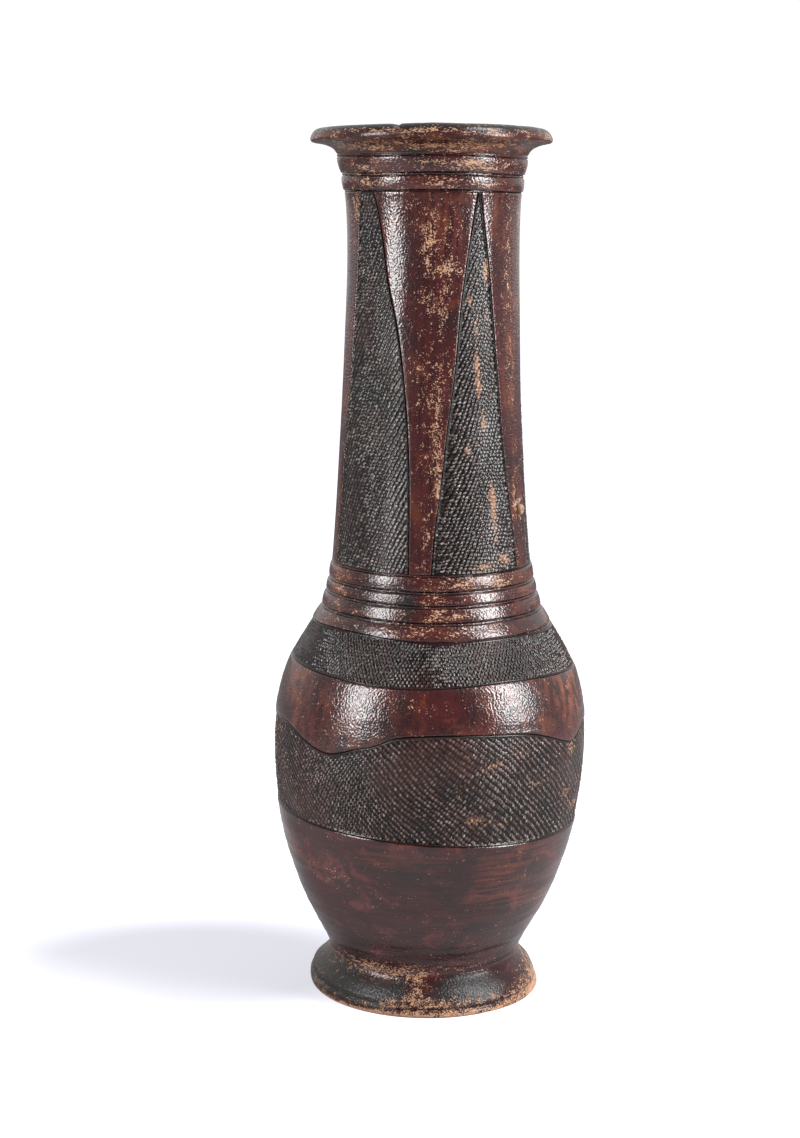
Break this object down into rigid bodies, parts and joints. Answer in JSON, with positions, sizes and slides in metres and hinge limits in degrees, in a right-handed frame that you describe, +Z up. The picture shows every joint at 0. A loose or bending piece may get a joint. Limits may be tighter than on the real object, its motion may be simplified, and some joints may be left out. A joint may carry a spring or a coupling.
{
  "type": "tall necked pottery vessel",
  "caption": "Tall hand built earthenware vessel: flaring hollow foot, swelling body, long waisted neck with sunk tapering panels, incised lines and an everted lip.",
  "frame": {"origin": "centre of the foot, on the surface that the vessel stands on", "axes": "+Z up along the axis of the vessel; -Y faces the viewer of the picture, with +X to their right"},
  "size_m": [0.256, 0.256, 0.7],
  "materials": {
    "burnished_slip": "burnished dark red slip",
    "impressed_clay": "smoked matt clay with small impressions",
    "bare_clay": "bare fired clay"
  },
  "bodies": {
    "root": {"foot_ring": "burnished_slip", "floor_disc": "bare_clay", "lower_wall": "burnished_slip", "belly_wall": "impressed_clay", "shoulder_wall": "burnished_slip", "collar_wall": "impressed_clay", "neck_base": "burnished_slip", "neck_tube": "burnished_slip", "throat_band": "burnished_slip", "rim_lip": "burnished_slip", "neck_boss": "bare_clay"}
  },
  "joints": []
}
